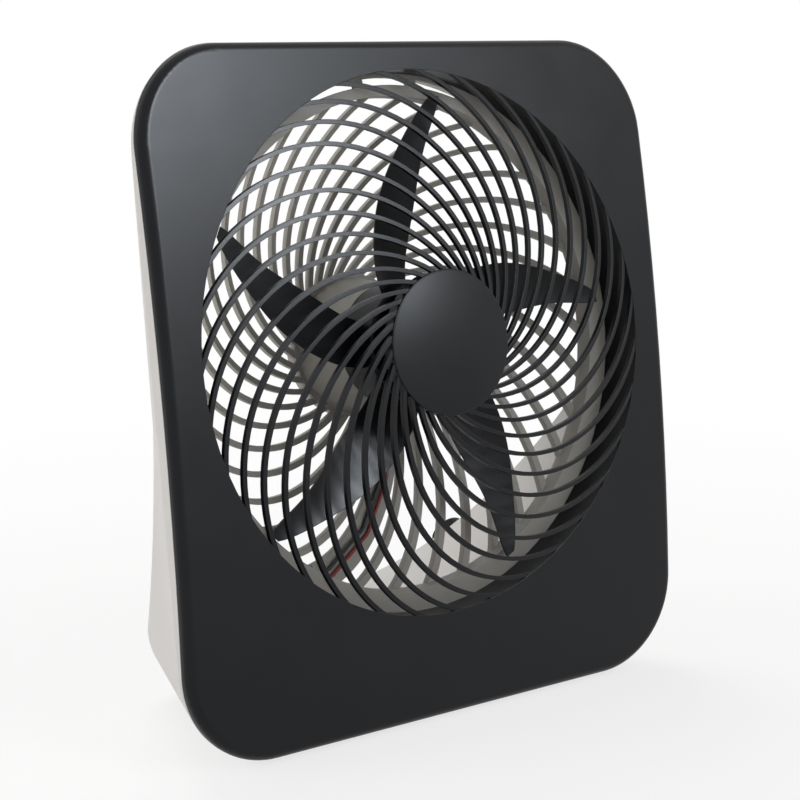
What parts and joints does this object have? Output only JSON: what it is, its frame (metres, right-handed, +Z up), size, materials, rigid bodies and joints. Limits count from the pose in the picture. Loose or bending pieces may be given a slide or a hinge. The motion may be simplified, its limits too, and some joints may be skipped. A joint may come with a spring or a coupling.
{
  "type": "box fan",
  "caption": "Portable box fan with a crowned spiral front grille, a flared base that holds the cells, a lofted impeller on a small motor, a domed rear grille and a rotary speed knob.",
  "frame": {"origin": "on the floor, under the middle of the body", "axes": "+Z up, -Y out of the front grille, +X to the right seen from the front"},
  "size_m": [0.29, 0.1134, 0.3155],
  "materials": {
    "charcoal_plastic": "satin, fine texture",
    "grey_plastic": "fine matte texture",
    "inner_grey_plastic": "fine matte texture",
    "black_plastic": "satin",
    "steel": "plated",
    "iron": "laminated or sintered, dark",
    "brass": "bright",
    "copper": "enamelled wire",
    "carbon": "pressed carbon",
    "red_insulation": "soft satin",
    "black_insulation": "soft satin",
    "cell_jacket": "plain printed jacket, bare of text",
    "foot_rubber": "matte"
  },
  "bodies": {
    "housing": {"front_panel": "charcoal_plastic", "rear_housing": "grey_plastic", "rear_grille": "inner_grey_plastic", "motor_cover": "inner_grey_plastic", "motor_can": "steel", "motor_end_cap": "black_plastic", "motor_bushings": "brass", "motor_magnets": "iron", "motor_brushes": "carbon", "motor_screws": "steel", "motor_lead_red": "red_insulation", "motor_lead_black": "black_insulation", "battery_cradle": "black_plastic", "battery_contacts": "steel", "battery_cell_1": "cell_jacket", "battery_cell_2": "cell_jacket", "battery_cell_3": "cell_jacket", "battery_cell_4": "cell_jacket", "battery_cell_5": "cell_jacket", "battery_cell_6": "cell_jacket", "speed_switch": "black_plastic", "dc_jack": "black_plastic", "panel_screws": "steel", "foot_front_left": "foot_rubber", "foot_front_right": "foot_rubber", "foot_rear_left": "foot_rubber", "foot_rear_right": "foot_rubber"},
    "fan_rotor": {"impeller": "black_plastic", "impeller_clip": "steel", "motor_shaft": "steel", "armature_core": "iron", "armature_winding": "copper", "commutator": "brass"},
    "knob": {"speed_knob": "charcoal_plastic"},
    "door": {"battery_door": "grey_plastic"}
  },
  "joints": [
    {"name": "fan_spin", "type": "hinge", "parent": "housing", "child": "fan_rotor", "pos_m": [0, -0.03684, 0.1774], "axis": [0, -0.9899, 0.1415], "continuous": true},
    {"name": "knob_turn", "type": "hinge", "parent": "housing", "child": "knob", "pos_m": [0.08, 0.0442, 0.0535], "axis": [0, -0.8608, -0.5089], "range_deg": [0, 90]},
    {"name": "door_slide", "type": "slide", "parent": "housing", "child": "door", "axis": [0, 1, 0], "range_m": [0, 0.08]}
  ]
}
